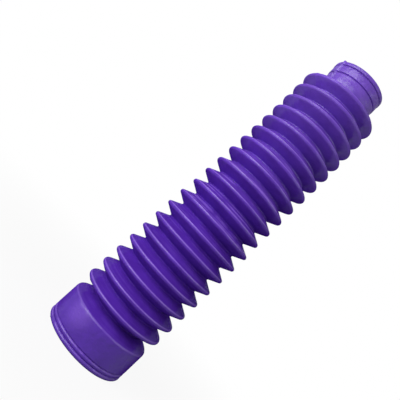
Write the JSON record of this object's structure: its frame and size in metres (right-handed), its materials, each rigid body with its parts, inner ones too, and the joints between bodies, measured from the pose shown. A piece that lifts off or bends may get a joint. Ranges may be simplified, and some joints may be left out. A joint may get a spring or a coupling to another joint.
{
  "type": "fork gaiter",
  "caption": "Rubber bellows gaiter for a telescopic motorcycle fork: rounded folds between a wide beaded cuff and a narrow cuff with a clamp seat and lip, open right through.",
  "frame": {"origin": "on the gaiter's axis, in the plane of the wide cuff's open rim, which is the lowest point", "axes": "+Z runs along the gaiter's axis from the wide cuff to the narrow one; the gaiter is a body of revolution, so X and Y are any two directions across it"},
  "size_m": [0.062, 0.062, 0.2481],
  "materials": {
    "rubber": "satin"
  },
  "bodies": {
    "root": {"gaiter": "rubber"}
  },
  "joints": []
}
